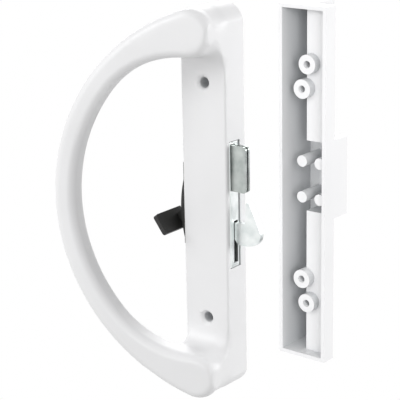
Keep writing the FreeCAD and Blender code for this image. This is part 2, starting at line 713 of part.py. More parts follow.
# Leaf spring beside the hub, with its rivet
leaf = Piece("detent_spring")
leaf.box("Additive", "leaf_blade", "-leaf_x - leaf_thick", "-leaf_x", "case_back + case_sheet",
         "leaf_front", "leaf_low", "leaf_high")
leaf.box("Additive", "leaf_tab_plate", "-leaf_x - leaf_thick", "leaf_tab - leaf_x",
         "case_back + case_sheet",
         "case_back + case_sheet + leaf_thick", "leaf_tab_low", "leaf_high")
leaf.rod("Subtractive", "leaf_hole", "leaf_tab / 2 - leaf_x", "(leaf_tab_low + leaf_high) / 2",
         "case_back",
         "case_back + case_sheet + leaf_thick + 1", "leaf_rivet_r")
leaf_rivet = Piece("spring_rivet")
leaf_rivet.rod("Additive", "leaf_rivet_shank", "leaf_tab / 2 - leaf_x",
               "(leaf_tab_low + leaf_high) / 2", "case_back",
               "case_back + case_sheet + leaf_thick", "leaf_rivet_r")
leaf_rivet.rod("Additive", "leaf_rivet_head", "leaf_tab / 2 - leaf_x", "(leaf_tab_low + leaf_high) / 2",
               "case_back + case_sheet + leaf_thick", "case_back + case_sheet + leaf_thick + rivet_head_h", "1.7 * leaf_rivet_r")
leaf_rivet.rod("Additive", "leaf_rivet_tail", "leaf_tab / 2 - leaf_x", "(leaf_tab_low + leaf_high) / 2",
               "case_back - rivet_head_h", "case_back", "1.7 * leaf_rivet_r")

# Screws that hold the case to the posts of the casting
screws = Piece("case_screws")
for word, sign in (("high", ""), ("low", "-")):
    screws.rod("Additive", "case_screw_" + word, "ear_screw_x", sign + "ear_screw_z", "case_back",
               "case_back + case_sheet + case_screw_grip", "case_screw_r")
    screws.rod("Additive", "case_screw_head_" + word, "ear_screw_x", sign + "ear_screw_z",
               "case_back - case_screw_head_h",
               "case_back", "case_screw_head_r")

# Outside pull: flat plate, deep fin along its left side and a block in the middle, hollow toward the handle
pull = Piece("outside_pull")


def pull_at(d):
    """Depth below the rim of the pull, on the common depth scale."""
    return "-pull_y - (%s)" % d


def pull_box(kind, name, x0, x1, d0, d1, z0, z1):
    """Box in the pull, from depth d0 to d1 below its rim."""
    pull.box(kind, name, "pull_x + %s" % x0, "pull_x + %s" % x1, pull_at(d1), pull_at(d0),
             "pull_z + %s" % z0, "pull_z + %s" % z1)


def pull_rod(kind, name, x, z, d0, d1, r):
    """Round in the pull, from depth d0 to d1 below its rim."""
    pull.rod(kind, name, "pull_x + %s" % x, "pull_z + %s" % z, pull_at(d1), pull_at(d0), r)


half_w = "(pull_width / 2)"
half_h = "(pull_height / 2)"
cave_w = "(pull_width / 2 - pull_wall)"
cave_h = "(pull_height / 2 - pull_wall)"
sk = pull.sketch("pull_outline", "XZ_Plane", pull_at("plate_depth"))
pull.outline(sk, [
    ("pull_x - " + half_w, "pull_z - " + half_h),
    ("pull_x + " + half_w, "pull_z - " + half_h),
    ("pull_x + " + half_w, "pull_z + " + half_h),
    ("pull_x - " + half_w, "pull_z + " + half_h),
])
pull.feature("Pad", "pull_plate", sk, "plate_depth")
pull_box("Additive", "fin", "(-%s)" % half_w, "(fin_width - %s)" % half_w, "0", "fin_depth",
         "(-%s)" % half_h, half_h)
pull_box("Additive", "block", "0", half_w, "0", "block_depth", "(block_z - block_half)",
         "(block_z + block_half)")
pull.round_edges("fin_edges", "fin_round", on_fin_edge)
pull_box("Subtractive", "plate_hollow", "(-%s)" % cave_w, cave_w, "(-1)", "plate_floor",
         "(-%s)" % cave_h, cave_h)
pull_box("Subtractive", "fin_hollow", "(-%s)" % cave_w, "fin_edge", "0", "fin_floor", "(-%s)" % cave_h,
         cave_h)
pull_box("Subtractive", "block_hollow", "(-%s)" % cave_w, cave_w, "0", "block_floor",
         "(block_z - block_half + pull_wall)",
         "(block_z + block_half - pull_wall)")
for word, sign in (("high", ""), ("low", "-")):
    for pair, shift, spacing in (("outer", "boss_shift", "screw_spacing"),
                                 ("inner", "(-boss_shift)", "inner_spacing")):
        z = "(%s%s / 2)" % (sign, spacing)
        pull_rod("Additive", "%s_boss_%s" % (pair, word), shift, z, "boss_face", "plate_depth",
                 "pull_boss_r")
        pull_rod("Subtractive", "%s_hole_%s" % (pair, word), shift, z, "(boss_face - 1)",
                 "(boss_face + pull_hole_depth)",
                 "pull_hole_r")
    for hand in ("left", "right"):
        floor = "fin_floor" if hand == "left" else "block_floor"
        pull_rod("Additive", "peg_%s_%s" % (hand, word), "peg_x_" + hand,
                 "(peg_z + %speg_pitch / 2)" % sign, "boss_face",
                 "(%s + 0.5)" % floor, "peg_r")

# Every object must be sound before a file is written
doc.recompute()
pieces = [handle, case, nose, rivets, hook, lever, drive, pin, washer, bezel, leaf, leaf_rivet, screws,
          pull]
for obj in doc.Objects:
    if "Invalid" in obj.State or "Error" in obj.State:
        raise RuntimeError("%s did not build: %s" % (obj.Name, obj.State))
    if hasattr(obj, "Shape") and obj.isDerivedFrom("PartDesign::Feature"):
        if obj.Shape.isNull() or not obj.Shape.isValid():
            raise RuntimeError("%s has no sound shape" % obj.Name)
    if "Subtractive" in obj.TypeId or obj.TypeId == "PartDesign::Pocket":
        if obj.Shape.Volume > obj.BaseFeature.Shape.Volume - 0.01:
            raise RuntimeError("%s took nothing away" % obj.Name)
    if "Additive" in obj.TypeId and obj.BaseFeature is not None:
        if obj.Shape.Volume < obj.BaseFeature.Shape.Volume + 0.01:
            raise RuntimeError("%s added nothing" % obj.Name)
os.makedirs("parts", exist_ok=True)
for piece in pieces:
    shape = piece.body.Shape
    if shape.isNull() or not shape.isValid():
        raise RuntimeError("%s is not sound" % piece.name)
    shape.exportStep("parts/%s.step" % piece.name)
    print(piece.name, "%.1f mm3" % shape.Volume, len(shape.Solids), "solids", shape.BoundBox)
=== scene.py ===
"""Looks of a sliding patio door handle set: white castings, zinc-plated hook latch, black thumb lever."""

import json
import logging
import math
from abc import ABC, abstractmethod
from dataclasses import dataclass
from enum import Enum
from typing import Any, Optional

import bmesh
import bpy
import numpy as np
from mathutils import Matrix, Vector
from mathutils.kdtree import KDTree


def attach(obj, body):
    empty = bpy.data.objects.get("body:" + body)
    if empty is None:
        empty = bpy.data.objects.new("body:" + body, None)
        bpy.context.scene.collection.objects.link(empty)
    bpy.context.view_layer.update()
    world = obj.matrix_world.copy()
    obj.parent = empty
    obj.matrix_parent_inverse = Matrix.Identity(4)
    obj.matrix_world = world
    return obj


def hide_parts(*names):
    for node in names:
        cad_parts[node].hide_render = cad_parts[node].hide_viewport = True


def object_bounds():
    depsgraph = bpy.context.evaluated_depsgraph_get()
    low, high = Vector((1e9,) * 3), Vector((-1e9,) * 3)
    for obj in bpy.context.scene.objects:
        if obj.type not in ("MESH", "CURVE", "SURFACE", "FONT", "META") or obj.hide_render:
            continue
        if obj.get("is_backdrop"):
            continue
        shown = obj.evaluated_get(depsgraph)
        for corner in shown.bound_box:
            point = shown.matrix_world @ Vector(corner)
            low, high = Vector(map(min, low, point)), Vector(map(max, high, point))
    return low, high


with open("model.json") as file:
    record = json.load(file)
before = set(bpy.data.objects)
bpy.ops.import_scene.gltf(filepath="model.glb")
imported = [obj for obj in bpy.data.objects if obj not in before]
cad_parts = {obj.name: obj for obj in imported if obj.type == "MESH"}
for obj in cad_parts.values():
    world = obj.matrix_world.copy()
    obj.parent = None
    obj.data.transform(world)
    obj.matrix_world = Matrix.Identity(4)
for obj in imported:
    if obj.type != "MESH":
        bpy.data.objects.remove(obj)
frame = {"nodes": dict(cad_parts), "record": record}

log = logging.getLogger("patio_handle")
MM = 0.001
WHITE = "#ffffff"
# Noise lies mostly in this range, so the range is spread to what a socket needs.
NOISE_RANGE = {"From Min": 0.3, "From Max": 0.7}
HOLLOW_SAMPLES = 12
# A Mix node's sockets for colours go by number, because their names repeat.
SHARE, FIRST, SECOND = 0, 6, 7
MIXED = 2


class Body(Enum):
    """Rigid bodies of the frame that new pieces ride on."""

    HANDLE_SET = "handle_set"


class Slot(Enum):
    """Material slots of the record."""

    WHITE_PAINT = "white_paint"
    ZINC_PLATE = "zinc_plate"
    BLACK_PAINT = "black_paint"
    BLACK_PLASTIC = "black_plastic"
    SPRING_STEEL = "spring_steel"


class Half(Enum):
    """Halves of the set, each lit by itself as in the photograph."""

    HANDLE = "handle"
    PULL = "pull"

    def pieces(self) -> list[bpy.types.Object]:
        """Collect the pieces of this half.

        Returns:
            Its objects.
        """
        pull = [frame["nodes"]["outside_pull"], bpy.data.objects["boss_threads"]]
        if self is Half.PULL:
            return pull
        nodes = [obj for obj in frame["nodes"].values() if obj not in pull]
        return nodes + [bpy.data.objects["handle_casting"]]


def linear(colour: str) -> tuple[float, float, float, float]:
    """Turn an sRGB hex colour into the linear values that shader sockets take.

    Args:
        colour: Six hex digits with a leading hash.

    Returns:
        Linear red, green and blue with full alpha.
    """
    parts = [int(colour[i:i + 2], 16) / 255 for i in (1, 3, 5)]
    red, green, blue = (c / 12.92 if c <= 0.04045 else ((c + 0.055) / 1.055) ** 2.4 for c in parts)
    return red, green, blue, 1.0


def add_node(tree: bpy.types.NodeTree, kind: str, inputs: Optional[dict[Any, Any]] = None,
             **props: Any) -> bpy.types.Node:
    """Add one node with its settings and links.

    Args:
        tree: Tree that it goes into.
        kind: Node type.
        inputs: Input name or number to a socket to link from, or to a plain value.
        **props: Properties of the node.

    Returns:
        The new node.
    """
    node = tree.nodes.new(kind)
    for prop, value in props.items():
        setattr(node, prop, value)
    for key, value in (inputs or {}).items():
        if isinstance(value, bpy.types.NodeSocket):
            tree.links.new(value, node.inputs[key])
        else:
            node.inputs[key].default_value = value
    return node


def baked(obj: bpy.types.Object) -> bpy.types.Mesh:
    """Turn an object with its modifiers into a plain mesh.

    Args:
        obj: The object.

    Returns:
        The mesh.
    """
    graph = bpy.context.evaluated_depsgraph_get()
    return bpy.data.meshes.new_from_object(obj.evaluated_get(graph), depsgraph=graph)


def mount(name: str) -> dict[str, Any]:
    """Look up a mount of the record.

    Args:
        name: Name of the mount.

    Returns:
        The mount.
    """
    return next(m for m in frame["record"]["mounts"] if m["name"] == name)


class Finish(ABC):
    """A real material that pieces are dressed in."""

    name: str
    slot: Slot

    def material(self) -> bpy.types.Material:
        """Find the material, or build it.

        Returns:
            The node material, which ends in a Principled shader.
        """
        found = bpy.data.materials.get(self.name)
        if found:
            return found
        material = bpy.data.materials.new(self.name)
        material.use_nodes = True
        tree = material.node_tree
        tree.nodes.clear()
        place = add_node(tree, "ShaderNodeTexCoord").outputs["Object"]
        shader = add_node(tree, "ShaderNodeBsdfPrincipled", self.surface(tree, place))
        add_node(tree, "ShaderNodeOutputMaterial", {"Surface": shader.outputs["BSDF"]})
        return material

    @abstractmethod
    def surface(self, tree: bpy.types.NodeTree, place: bpy.types.NodeSocket) -> dict[str, Any]:
        """Lay out the nodes of the surface.

        Args:
            tree: Tree of the material.
            place: Object coordinates.

        Returns:
            Inputs of the shader.
        """


@dataclass(frozen=True)
class CastingPaint(Finish):
    """Satin white baked paint on a zinc die casting.

    The eye sees a soft sheen with a faint peel. Deep in the hollows the paint is mixed toward grey where
    ambient occlusion finds the surface hemmed in: painted shade.
    """

    name: str = "white_paint_on_casting"
    slot: Slot = Slot.WHITE_PAINT
    paint: str = "#dfdfe0"
    thin_paint: str = "#dbdbdc"
    # Painted shade: grey that the paint is mixed toward in hollows and coves, and how far ambient occlusion
    # looks for them.
    painted_shade_grey: str = "#bcbec0"
    shade_reach_mm: float = 26.0
    deep_at: float = 0.12
    open_at: float = 0.62
    cloud_mm: float = 38.0
    gloss_mm: float = 6.0
    roughness: tuple[float, float] = (0.34, 0.46)
    specular: float = 0.45
    peel_mm: float = 1.6
    peel_depth_mm: float = 0.006

    def surface(self, tree: bpy.types.NodeTree, place: bpy.types.NodeSocket) -> dict[str, Any]:
        """Lay out the paint.

        Args:
            tree: Tree of the material.
            place: Object coordinates.

        Returns:
            Inputs of the shader.
        """
        cloud = add_node(tree, "ShaderNodeTexNoise", {
            "Vector": place, "Scale": 1 / (self.cloud_mm * MM), "Detail": 3.0,
        })
        thin = add_node(tree, "ShaderNodeMapRange", {"Value": cloud.outputs["Fac"], **NOISE_RANGE})
        coat = add_node(tree, "ShaderNodeMix", {
            SHARE: thin.outputs["Result"], FIRST: linear(self.paint), SECOND: linear(self.thin_paint),
        }, data_type="RGBA")
        # Painted shade: ambient occlusion mixes the paint toward grey in hollows and coves.
        hollow = add_node(tree, "ShaderNodeAmbientOcclusion", {
            "Distance": self.shade_reach_mm * MM,
        }, samples=HOLLOW_SAMPLES)
        deep = add_node(tree, "ShaderNodeMapRange", {
            "Value": hollow.outputs["AO"], "From Min": self.deep_at, "From Max": self.open_at,
            "To Min": 1.0, "To Max": 0.0,
        })
        colour = add_node(tree, "ShaderNodeMix", {
            SHARE: deep.outputs["Result"], FIRST: coat.outputs[MIXED], SECOND: linear(self.painted_shade_grey),
        }, data_type="RGBA")
        gloss = add_node(tree, "ShaderNodeTexNoise", {
            "Vector": place, "Scale": 1 / (self.gloss_mm * MM), "Detail": 3.0,
        })
        rough = add_node(tree, "ShaderNodeMapRange", {
            "Value": gloss.outputs["Fac"], **NOISE_RANGE,
            "To Min": self.roughness[0], "To Max": self.roughness[1],
        })
        peel = add_node(tree, "ShaderNodeTexNoise", {
            "Vector": place, "Scale": 1 / (self.peel_mm * MM), "Detail": 1.5,
        })
        bump = add_node(tree, "ShaderNodeBump", {
            "Height": peel.outputs["Fac"], "Distance": self.peel_depth_mm * MM, "Strength": 1.0,
        })
        return {
            "Base Color": colour.outputs[MIXED],
            "Roughness": rough.outputs["Result"],
            "Specular IOR Level": self.specular,
            "Normal": bump.outputs["Normal"],
        }


@dataclass(frozen=True)
class ZincPlate(Finish):
    """Bright bluish zinc plate on rolled sheet steel.

    The eye sees a cloudy sheen with fine lines along the sheet. Deep in the slots the colour is mixed toward
    near black where ambient occlusion finds them hemmed in: painted shade.
    """

    name: str = "zinc_plated_steel"
    slot: Slot = Slot.ZINC_PLATE
    bright: str = "#f1f4f3"
    dull: str = "#dde3e2"
    # Painted shade: near black that the plate is mixed toward in slots and gaps, and how far ambient
    # occlusion looks for them.
    painted_shade_black: str = "#1b1c1d"
    slot_shade_reach_mm: float = 12.0
    deep_at: float = 0.1
    open_at: float = 0.4
    cloud_mm: float = 5.0
    roughness: tuple[float, float] = (0.28, 0.38)
    line_mm: float = 0.25
    line_stretch: float = 30.0
    line_depth_mm: float = 0.0015

    def surface(self, tree: bpy.types.NodeTree, place: bpy.types.NodeSocket) -> dict[str, Any]:
        """Lay out the plate.

        Args:
            tree: Tree of the material.
            place: Object coordinates.

        Returns:
            Inputs of the shader.
        """
        cloud = add_node(tree, "ShaderNodeTexNoise", {
            "Vector": place, "Scale": 1 / (self.cloud_mm * MM), "Detail": 4.0,
        })
        shine = add_node(tree, "ShaderNodeMapRange", {"Value": cloud.outputs["Fac"], **NOISE_RANGE})
        sheen = add_node(tree, "ShaderNodeMix", {
            SHARE: shine.outputs["Result"], FIRST: linear(self.dull), SECOND: linear(self.bright),
        }, data_type="RGBA")
        # Painted shade: ambient occlusion mixes the plate toward near black in the slots.
        hollow = add_node(tree, "ShaderNodeAmbientOcclusion", {
            "Distance": self.slot_shade_reach_mm * MM,
        }, samples=HOLLOW_SAMPLES)
        deep = add_node(tree, "ShaderNodeMapRange", {
            "Value": hollow.outputs["AO"], "From Min": self.deep_at, "From Max": self.open_at,
            "To Min": 1.0, "To Max": 0.0,
        })
        colour = add_node(tree, "ShaderNodeMix", {
            SHARE: deep.outputs["Result"], FIRST: sheen.outputs[MIXED], SECOND: linear(self.painted_shade_black),
        }, data_type="RGBA")
        rough = add_node(tree, "ShaderNodeMapRange", {
            "Value": cloud.outputs["Fac"], **NOISE_RANGE,
            "To Min": self.roughness[0], "To Max": self.roughness[1],
        })
        across = 1 / (self.line_mm * MM)
        along = add_node(tree, "ShaderNodeVectorMath", {
            0: place, 1: (across, across, across / self.line_stretch),
        }, operation="MULTIPLY")
        lines = add_node(tree, "ShaderNodeTexNoise", {
            "Vector": along.outputs[0], "Scale": 1.0, "Detail": 2.0,
        })
        bump = add_node(tree, "ShaderNodeBump", {
            "Height": lines.outputs["Fac"], "Distance": self.line_depth_mm * MM, "Strength": 1.0,
        })
        return {
            "Base Color": colour.outputs[MIXED],
            "Metallic": 1.0,
            "Roughness": rough.outputs["Result"],
            "Normal": bump.outputs["Normal"],
        }


@dataclass(frozen=True)
class SatinBlack(Finish):
    """Black satin paint on the lever, or black moulded plastic round its slot.

    The eye sees a dull, slightly uneven black with a fine grain.
    """

    name: str
    slot: Slot
    tone: str
    worn: str
    roughness: tuple[float, float]
    grain_mm: float
    grain_depth_mm: float
    wear_mm: float = 9.0
    specular: float = 0.5

    def surface(self, tree: bpy.types.NodeTree, place: bpy.types.NodeSocket) -> dict[str, Any]:
        """Lay out the black.

        Args:
            tree: Tree of the material.
            place: Object coordinates.

        Returns:
            Inputs of the shader.
        """
        wear = add_node(tree, "ShaderNodeTexNoise", {
            "Vector": place, "Scale": 1 / (self.wear_mm * MM), "Detail": 3.0,
        })
        share = add_node(tree, "ShaderNodeMapRange", {"Value": wear.outputs["Fac"], **NOISE_RANGE})
        colour = add_node(tree, "ShaderNodeMix", {
            SHARE: share.outputs["Result"], FIRST: linear(self.tone), SECOND: linear(self.worn),
        }, data_type="RGBA")
        grain = add_node(tree, "ShaderNodeTexNoise", {
            "Vector": place, "Scale": 1 / (self.grain_mm * MM), "Detail": 2.0,
        })
        rough = add_node(tree, "ShaderNodeMapRange", {
            "Value": grain.outputs["Fac"], **NOISE_RANGE,
            "To Min": self.roughness[0], "To Max": self.roughness[1],
        })
        bump = add_node(tree, "ShaderNodeBump", {
            "Height": grain.outputs["Fac"], "Distance": self.grain_depth_mm * MM, "Strength": 1.0,
        })
        return {
            "Base Color": colour.outputs[MIXED],
            "Roughness": rough.outputs["Result"],
            "Specular IOR Level": self.specular,
            "Normal": bump.outputs["Normal"],
        }


@dataclass(frozen=True)
class SpringStrip(Finish):
    """Blued spring steel strip.

    The eye sees blue and straw heat tints with lines along the strip.
    """

    name: str = "blued_spring_steel"
    slot: Slot = Slot.SPRING_STEEL
    blue: str = "#5c6470"
    straw: str = "#7a7164"
    tint_mm: float = 7.0
    roughness: tuple[float, float] = (0.28, 0.4)
    line_mm: float = 0.3
    line_stretch: float = 25.0
    line_depth_mm: float = 0.002

    def surface(self, tree: bpy.types.NodeTree, place: bpy.types.NodeSocket) -> dict[str, Any]:
        """Lay out the strip.

        Args:
            tree: Tree of the material.
            place: Object coordinates.

        Returns:
            Inputs of the shader.
        """
        tint = add_node(tree, "ShaderNodeTexNoise", {
            "Vector": place, "Scale": 1 / (self.tint_mm * MM), "Detail": 2.0,
        })
        share = add_node(tree, "ShaderNodeMapRange", {"Value": tint.outputs["Fac"], **NOISE_RANGE})
        colour = add_node(tree, "ShaderNodeMix", {
            SHARE: share.outputs["Result"], FIRST: linear(self.blue), SECOND: linear(self.straw),
        }, data_type="RGBA")
        across = 1 / (self.line_mm * MM)
        along = add_node(tree, "ShaderNodeVectorMath", {
            0: place, 1: (across, across, across / self.line_stretch),
        }, operation="MULTIPLY")
        lines = add_node(tree, "ShaderNodeTexNoise", {
            "Vector": along.outputs[0], "Scale": 1.0, "Detail": 2.0,
        })
        rough = add_node(tree, "ShaderNodeMapRange", {
            "Value": lines.outputs["Fac"], **NOISE_RANGE,
            "To Min": self.roughness[0], "To Max": self.roughness[1],
        })
        bump = add_node(tree, "ShaderNodeBump", {
            "Height": lines.outputs["Fac"], "Distance": self.line_depth_mm * MM, "Strength": 1.0,
        })
        return {
            "Base Color": colour.outputs[MIXED],
            "Metallic": 1.0,
            "Roughness": rough.outputs["Result"],
            "Normal": bump.outputs["Normal"],
        }


class Assembly(ABC):
    """A group of pieces of the frame that is built and dressed together."""

    @abstractmethod
    def build(self) -> None:
        """Dress the pieces and add what the solids leave out."""

    def dress(self, finish: Finish, *nodes: str) -> None:
        """Give nodes of the frame one finish.

        Args:
            finish: What they are made of.
            *nodes: Names of the nodes.
        """
        material = finish.material()
        for name in nodes:
            obj = frame["nodes"][name]
            obj.data.materials.clear()
            obj.data.materials.append(material)
            log.info("dressed %s in %s", name, material.name)

    @staticmethod
    def add(obj: bpy.types.Object, finish: Finish, body: Body) -> bpy.types.Object:
        """Hand a new piece to the frame.

        Args:
            obj: The piece, in place.
            finish: What it is made of; not used.
            body: Body that it moves with.

        Returns:
            The piece.
        """
        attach(obj, body.value)
        log.info("added %s: %d faces, rides on %s", obj.name, len(obj.data.polygons), body.value)
        return obj


@dataclass
class InsideHandle(Assembly):
    """White casting with the D-shaped grip, and the black bezel of its lever slot.

    The solid has a seam where the grip's ends meet the base. Its copy here has a soft cove instead.
    """

    paint: CastingPaint
    moulding: SatinBlack
    end_start: float = 70.0 * MM
    front_from: float = -12.0 * MM
    weld: float = 0.001 * MM
    seam_angle: float = math.radians(20.0)
    flat_angle: float = 0.1
    crease: float = math.radians(30.0)
    melt_reach: float = 9.0 * MM
    grain: float = 1.3 * MM
    passes: int = 7
    probes: int = 4
    rounds: int = 30
    pace: float = 0.5
    normal_weight: int = 100

    def build(self) -> None:
        """Make the casting and dress the bezel."""
        self.casting()
        self.dress(self.moulding, "lever_bezel")

    def casting(self) -> bpy.types.Object:
        """Copy the casting with the seams at the grip's ends melted into soft coves.

        Returns:
            The casting, which stands for its node.
        """
        shape = bmesh.new()
        shape.from_mesh(frame["nodes"]["inside_handle"].data)
        bmesh.ops.remove_doubles(shape, verts=shape.verts, dist=self.weld)
        seam = self.seam(shape)
        self.refine(shape, seam)
        self.melt(shape, seam)
        mesh = bpy.data.meshes.new("handle_casting")
        shape.to_mesh(mesh)
        shape.free()
        mesh.shade_smooth()
        mesh.set_sharp_from_angle(angle=self.crease)
        mesh.materials.append(self.paint.material())
        obj = bpy.data.objects.new("handle_casting", mesh)
        bpy.context.scene.collection.objects.link(obj)
        even = obj.modifiers.new("even_normals", "WEIGHTED_NORMAL")
        even.keep_sharp = True
        even.weight = self.normal_weight
        obj.data = baked(obj)
        obj.modifiers.clear()
        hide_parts("inside_handle")
        return self.add(obj, self.paint, Body.HANDLE_SET)

    def at_end(self, place: Vector) -> bool:
        """Tell whether a point lies near one of the grip's ends.

        Args:
            place: The point.

        Returns:
            True at the top or the bottom of the casting, toward the room.
        """
        reach = self.melt_reach
        return abs(place.z) > self.end_start - reach and place.y < self.front_from + reach

    def seam(self, shape: bmesh.types.BMesh) -> KDTree:
        """Find the hollow edges where the grip's ends meet the base.

        Args:
            shape: The casting.

        Returns:
            Points along those edges.
        """
        points = []
        for edge in shape.edges:
            a, b = (v.co for v in edge.verts)
            ends = min(abs(a.z), abs(b.z)) > self.end_start and max(a.y, b.y) < self.front_from
            if ends and len(edge.link_faces) == 2 and edge.calc_face_angle_signed() < -self.seam_angle:
                steps = max(1, math.ceil((b - a).length / self.grain))
                points += [a.lerp(b, i / steps) for i in range(steps + 1)]
        tree = KDTree(len(points))
        for i, point in enumerate(points):
            tree.insert(point, i)
        tree.balance()
        log.info("seam of the grip: %d points", len(points))
        return tree

    def refine(self, shape: bmesh.types.BMesh, seam: KDTree) -> None:
        """Split long edges near the seam.

        Args:
            shape: The casting.
            seam: Points along the seam.
        """
        for _ in range(self.passes):
            near = []
            for edge in shape.edges:
                a, b = (v.co for v in edge.verts)
                if edge.calc_length() > self.grain and (self.at_end(a) or self.at_end(b)):
                    stops = [a.lerp(b, i / self.probes) for i in range(self.probes + 1)]
                    if min(seam.find(stop)[2] for stop in stops) < self.melt_reach:
                        near.append(edge)
            if not near:
                break
            bmesh.ops.subdivide_edges(shape, edges=near, cuts=1)
            bmesh.ops.triangulate(shape, faces=[f for f in shape.faces if len(f.verts) > 3])
            flat = [e for e in shape.edges if self.at_end(e.verts[0].co) and len(e.link_faces) == 2
                    and e.calc_face_angle() < self.flat_angle
                    and seam.find(e.verts[0].co)[2] < self.melt_reach]
            faces = list(dict.fromkeys(f for e in flat for f in e.link_faces))
            bmesh.ops.beautify_fill(shape, faces=faces, edges=flat)

    def melt(self, shape: bmesh.types.BMesh, seam: KDTree) -> None:
        """Even out the surface near the seam, less and less away from it.

        Args:
            shape: The casting.
            seam: Points along the seam.
        """
        shape.verts.index_update()
        places = np.array([v.co for v in shape.verts])
        shares = np.zeros((len(places), 1))
        for vert in shape.verts:
            if self.at_end(vert.co) and vert.co.y < self.front_from:
                near = max(0.0, 1 - seam.find(vert.co)[2] / self.melt_reach)
                shares[vert.index] = near * near * (3 - 2 * near)
        pairs = np.array([[v.index for v in e.verts] for e in shape.edges])
        pairs = pairs[shares[pairs].max(axis=(1, 2)) > 0]
        first, second = np.concatenate((pairs, pairs[:, ::-1])).T
        around = np.maximum(np.bincount(first, minlength=len(places)), 1)[:, None]
        for _ in range(self.rounds):
            total = np.zeros_like(places)
            np.add.at(total, first, places[second])
            places += self.pace * shares * (total / around - places)
        for vert in shape.verts:
            if shares[vert.index] > 0:
                vert.co = places[vert.index]


@dataclass
class OutsidePull(Assembly):
    """White pull with tapped bosses in its hollow."""

    paint: CastingPaint
    turns: float = 6.0
    pitch: float = 0.7 * MM
    crest: float = 0.22 * MM
    lead_in: float = 0.5 * MM
    steps_per_turn: int = 24
    ridge_sides: int = 4

    def build(self) -> None:
        """Dress the pull and cut the threads of its bosses."""
        self.dress(self.paint, "outside_pull")
        self.threads()

    def threads(self) -> bpy.types.Object:
        """Run a thread down each boss hole.

        Returns:
            The threads as one piece.
        """
        tree = bpy.data.node_groups.new("boss_threads", "GeometryNodeTree")
        keys = self.thread_nodes(tree)
        obj = bpy.data.objects.new("boss_threads", bpy.data.meshes.new("boss_threads"))
        bpy.context.scene.collection.objects.link(obj)
        modifier = obj.modifiers.new("boss_threads", "NODES")
        modifier.node_group = tree
        for name, value in self.thread_values().items():
            modifier[keys[name]] = value
        obj.data = baked(obj)
        obj.modifiers.remove(modifier)
        return self.add(obj, self.paint, Body.HANDLE_SET)

    def thread_values(self) -> dict[str, Any]:
        """Work out the sizes of the threads and the places of their holes.

        Returns:
            Input name to value.
        """
        values: dict[str, Any] = {"Pitch": self.pitch, "Turns": self.turns, "Crest": self.crest}
        for pair in ("Outer", "Inner"):
            holes = mount("pull_screws_" + pair.lower())
            step = holes["dims"]["spacing_y_mm"] * MM
            values[pair + " Start"] = Vector(holes["pos_m"]) + Vector((0.0, self.lead_in, -step / 2))
            values[pair + " Step"] = Vector((0.0, 0.0, step))
            values["Radius"] = holes["dims"]["hole_r_mm"] * MM
        values["Paint"] = self.paint.material()
        return values

    def thread_nodes(self, tree: bpy.types.NodeTree) -> dict[str, str]:
        """Lay out the threads: a ridge along a helix, repeated at the four holes.

        Args:
            tree: Geometry node group to fill.

        Returns:
            Input name to socket identifier.
        """
        face = tree.interface
        face.new_socket("Geometry", in_out="OUTPUT", socket_type="NodeSocketGeometry")
        kinds = dict.fromkeys(("Radius", "Pitch", "Turns", "Crest"), "NodeSocketFloat")
        kinds |= dict.fromkeys(("Outer Start", "Outer Step", "Inner Start", "Inner Step"), "NodeSocketVector")
        kinds["Paint"] = "NodeSocketMaterial"
        keys = {}
        for name, kind in kinds.items():
            keys[name] = face.new_socket(name, in_out="INPUT", socket_type=kind).identifier
        given = add_node(tree, "NodeGroupInput").outputs
        height = add_node(tree, "ShaderNodeMath", {
            0: given["Pitch"], 1: given["Turns"],
        }, operation="MULTIPLY")
        helix = add_node(tree, "GeometryNodeCurveSpiral", {
            "Resolution": self.steps_per_turn, "Rotations": given["Turns"], "Start Radius": given["Radius"],
            "End Radius": given["Radius"], "Height": height.outputs[0],
        })
        ridge = add_node(tree, "GeometryNodeCurvePrimitiveCircle", {
            "Resolution": self.ridge_sides, "Radius": given["Crest"],
        })
        thread = add_node(tree, "GeometryNodeCurveToMesh", {
            "Curve": helix.outputs["Curve"], "Profile Curve": ridge.outputs["Curve"], "Fill Caps": True,
        })
        holes = add_node(tree, "GeometryNodeJoinGeometry")
        for pair in ("Outer", "Inner"):
            line = add_node(tree, "GeometryNodeMeshLine", {
                "Count": 2, "Start Location": given[pair + " Start"], "Offset": given[pair + " Step"],
            }, mode="OFFSET")
            tree.links.new(line.outputs["Mesh"], holes.inputs["Geometry"])
        copies = add_node(tree, "GeometryNodeInstanceOnPoints", {
            "Points": holes.outputs["Geometry"], "Instance": thread.outputs["Mesh"],
            "Rotation": (-math.pi / 2, 0.0, 0.0),
        })
        solid = add_node(tree, "GeometryNodeRealizeInstances", {"Geometry": copies.outputs["Instances"]})
        painted = add_node(tree, "GeometryNodeSetMaterial", {
            "Geometry": solid.outputs["Geometry"], "Material": given["Paint"],
        })
        add_node(tree, "NodeGroupOutput", {"Geometry": painted.outputs["Geometry"]})
        return keys


@dataclass
class HookLatch(Assembly):
    """Folded case, guide nose, hook and lever with what holds them together."""

    plate: ZincPlate
    shaded_nose_plate: ZincPlate
    strip: SpringStrip
    black: SatinBlack

    def build(self) -> None:
        """Dress the latch."""
        self.dress(self.plate, "latch_case", "nose_rivets", "hook", "drive_pin",
                   "pivot_pin", "pivot_washer", "spring_rivet", "case_screws")
        # The guide nose wears a darker copy of the zinc plate: painted shade.
        self.dress(self.shaded_nose_plate, "guide_nose")
        self.dress(self.strip, "detent_spring")
        self.dress(self.black, "thumb_lever")


